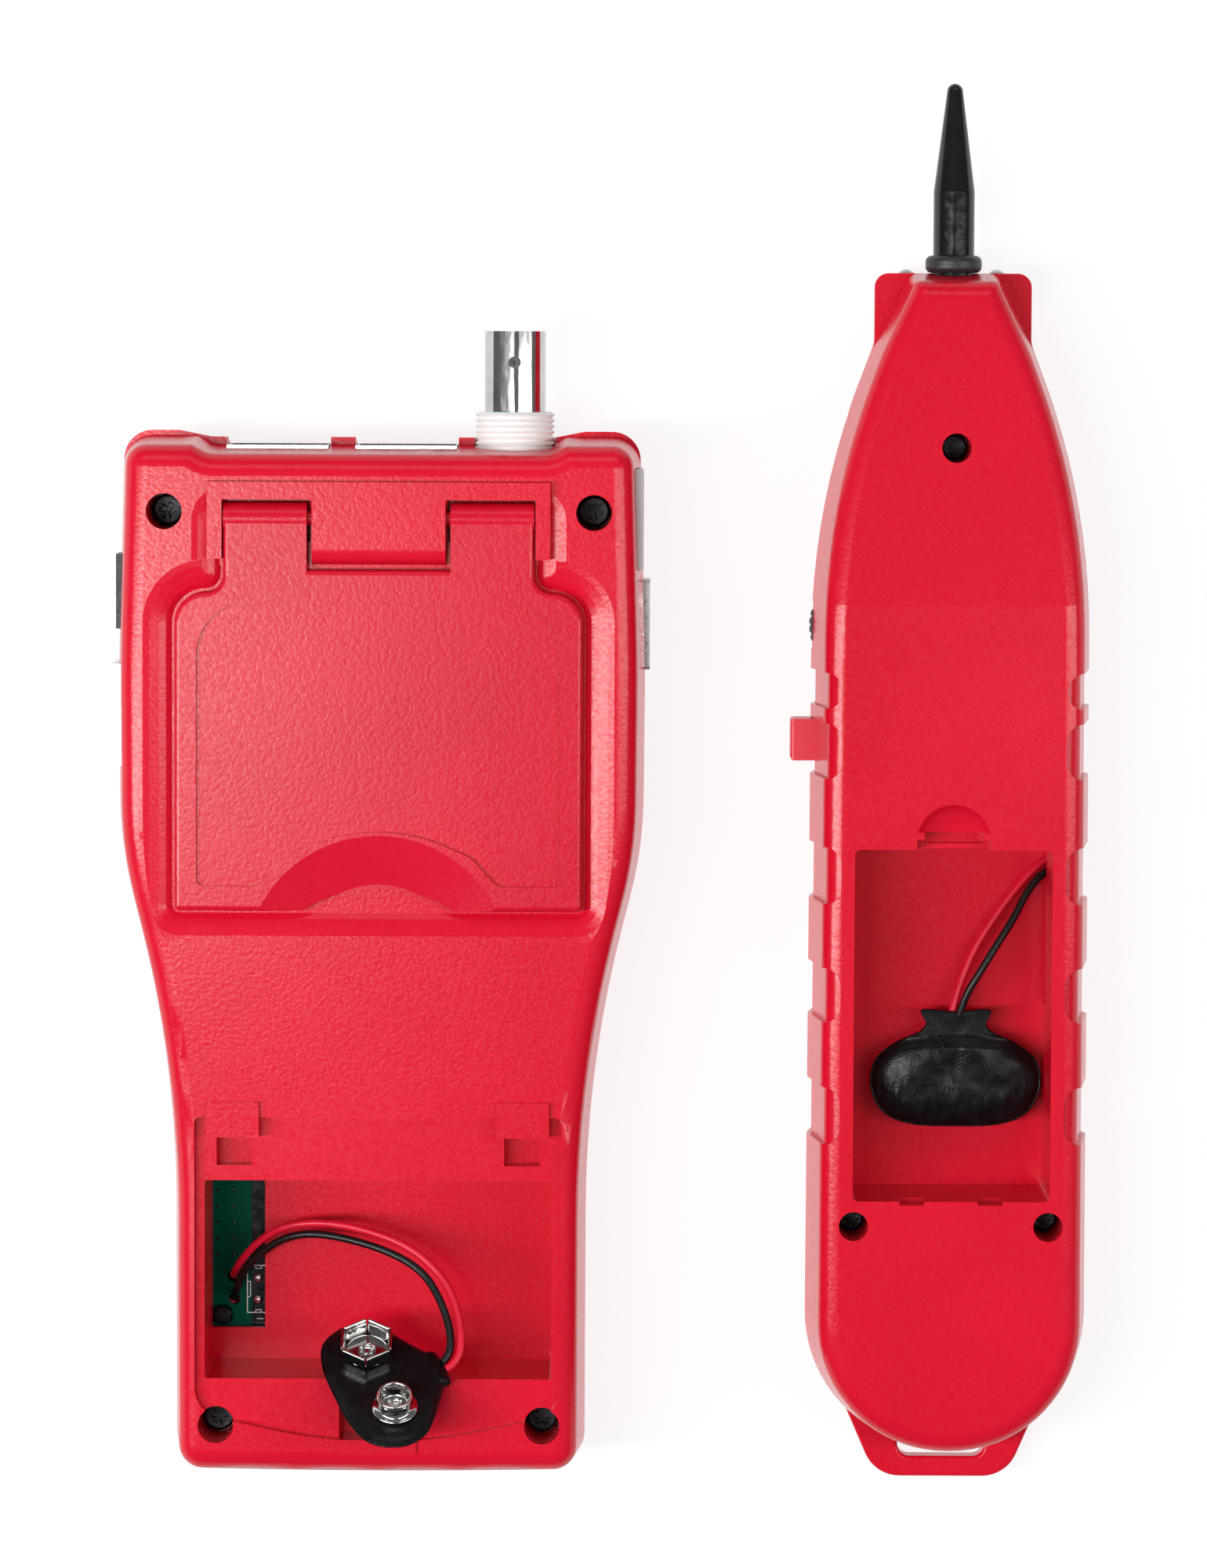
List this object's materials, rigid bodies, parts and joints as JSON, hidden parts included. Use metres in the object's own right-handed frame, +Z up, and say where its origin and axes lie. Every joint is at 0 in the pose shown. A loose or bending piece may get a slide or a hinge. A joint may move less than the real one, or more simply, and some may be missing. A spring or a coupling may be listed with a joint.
{
  "type": "tone probe kit",
  "caption": "Cable tester with folding stand and tone probe with conical tip, both face down with open battery bays and dangling battery snaps.",
  "frame": {"origin": "on the resting surface, under the middle of the two devices lying side by side", "axes": "+Z up out of the devices' backs, +Y towards the probe's tip and the tester's sockets, +X from the tester to the probe"},
  "size_m": [0.1549, 0.2233, 0.0432],
  "materials": {
    "case_red": "fine spark-eroded texture on the back, smooth ledges",
    "stand_red": "textured rim, smooth panel",
    "face_overlay": "smooth printed overlay",
    "display_window": "clear, smoked",
    "display_module": "grey-green",
    "key_rubber": "smooth",
    "board_green": "solder mask",
    "black_screw": "black oxide",
    "tinned_shell": "tinned sheet",
    "black_plastic": "moulded",
    "gold_contact": "plated",
    "grey_plastic": "moulded",
    "white_nylon": "moulded",
    "nickel": "nickel plated",
    "glossy_black": "polished",
    "button_red": "moulded",
    "lamp_clear": "clear epoxy",
    "black_vinyl": "grained vinyl",
    "red_insulation": "smooth extruded",
    "black_insulation": "smooth extruded"
  },
  "bodies": {
    "transmitter": {"bnc_barrel": "nickel", "bnc_bushing": "white_nylon", "bnc_centre_contact": "gold_contact", "bnc_insulator": "white_nylon", "lan_jack_side_contacts": "gold_contact", "lan_jack_side_insert": "black_plastic", "lan_jack_side_shield": "tinned_shell", "lan_jack_top_1_contacts": "gold_contact", "lan_jack_top_1_insert": "black_plastic", "lan_jack_top_1_shield": "tinned_shell", "lan_jack_top_2_contacts": "gold_contact", "lan_jack_top_2_insert": "black_plastic", "lan_jack_top_2_shield": "tinned_shell", "power_switch_body": "black_plastic", "side_port_plug": "grey_plastic", "transmitter_back_case": "case_red", "transmitter_board_screws": "black_screw", "transmitter_case_screws": "black_screw", "transmitter_circuit_board": "board_green", "transmitter_display_lens": "display_window", "transmitter_display_module": "display_module", "transmitter_front_case": "case_red", "transmitter_front_label": "face_overlay", "transmitter_key_switches": "black_plastic", "transmitter_snap_black_lead": "black_insulation", "transmitter_snap_pad": "black_vinyl", "transmitter_snap_red_lead": "red_insulation", "transmitter_snap_socket": "nickel", "transmitter_snap_stud": "nickel", "usb_port_shell": "tinned_shell", "usb_port_tongue": "black_plastic"},
    "kickstand": {"transmitter_kickstand": "stand_red"},
    "power_switch": {"power_switch_knob": "black_plastic"},
    "probe": {"probe_back_case": "case_red", "probe_board_screws": "black_screw", "probe_button_switch": "black_plastic", "probe_case_screws": "black_screw", "probe_circuit_board": "board_green", "probe_front_case": "case_red", "probe_lamp_leds": "lamp_clear", "probe_signal_leds": "lamp_clear", "probe_snap_black_lead": "black_insulation", "probe_snap_pad": "black_vinyl", "probe_snap_red_lead": "red_insulation", "probe_snap_socket": "nickel", "probe_snap_stud": "nickel", "probe_speaker": "black_plastic", "probe_tip": "glossy_black", "probe_tip_ring": "black_plastic", "probe_wheel_potentiometer": "black_plastic"},
    "probe_button": {"probe_button": "button_red"},
    "volume_wheel": {"probe_volume_wheel": "black_plastic"},
    "key_1": {"transmitter_key_1": "key_rubber"},
    "key_2": {"transmitter_key_2": "key_rubber"},
    "key_3": {"transmitter_key_3": "key_rubber"},
    "key_4": {"transmitter_key_4": "key_rubber"},
    "key_5": {"transmitter_key_5": "key_rubber"}
  },
  "joints": [
    {"name": "kickstand_hinge", "type": "hinge", "parent": "transmitter", "child": "kickstand", "pos_m": [-0.035, 0.0432, 0.0295], "axis": [-1, 0, 0], "range_deg": [0, 75]},
    {"name": "power_switch_slide", "type": "slide", "parent": "transmitter", "child": "power_switch", "axis": [0, -1, 0], "range_m": [0, 0.0037]},
    {"name": "probe_lift", "type": "slide", "parent": "transmitter", "child": "probe", "axis": [0, 0, 1], "range_m": [0, 0.06]},
    {"name": "probe_button_press", "type": "slide", "parent": "probe", "child": "probe_button", "axis": [1, 0, 0], "range_m": [0, 0.002], "stiffness_N_per_m": 400},
    {"name": "volume_wheel_turn", "type": "hinge", "parent": "probe", "child": "volume_wheel", "pos_m": [0.0407, 0.0261, 0.0135], "axis": [0, 0, 1], "range_deg": [0, 270]},
    {"name": "key_1_press", "type": "slide", "parent": "transmitter", "child": "key_1", "axis": [0, 0, 1], "range_m": [0, 0.001], "stiffness_N_per_m": 300},
    {"name": "key_2_press", "type": "slide", "parent": "transmitter", "child": "key_2", "axis": [0, 0, 1], "range_m": [0, 0.001], "stiffness_N_per_m": 300},
    {"name": "key_3_press", "type": "slide", "parent": "transmitter", "child": "key_3", "axis": [0, 0, 1], "range_m": [0, 0.001], "stiffness_N_per_m": 300},
    {"name": "key_4_press", "type": "slide", "parent": "transmitter", "child": "key_4", "axis": [0, 0, 1], "range_m": [0, 0.001], "stiffness_N_per_m": 300},
    {"name": "key_5_press", "type": "slide", "parent": "transmitter", "child": "key_5", "axis": [0, 0, 1], "range_m": [0, 0.001], "stiffness_N_per_m": 300}
  ]
}
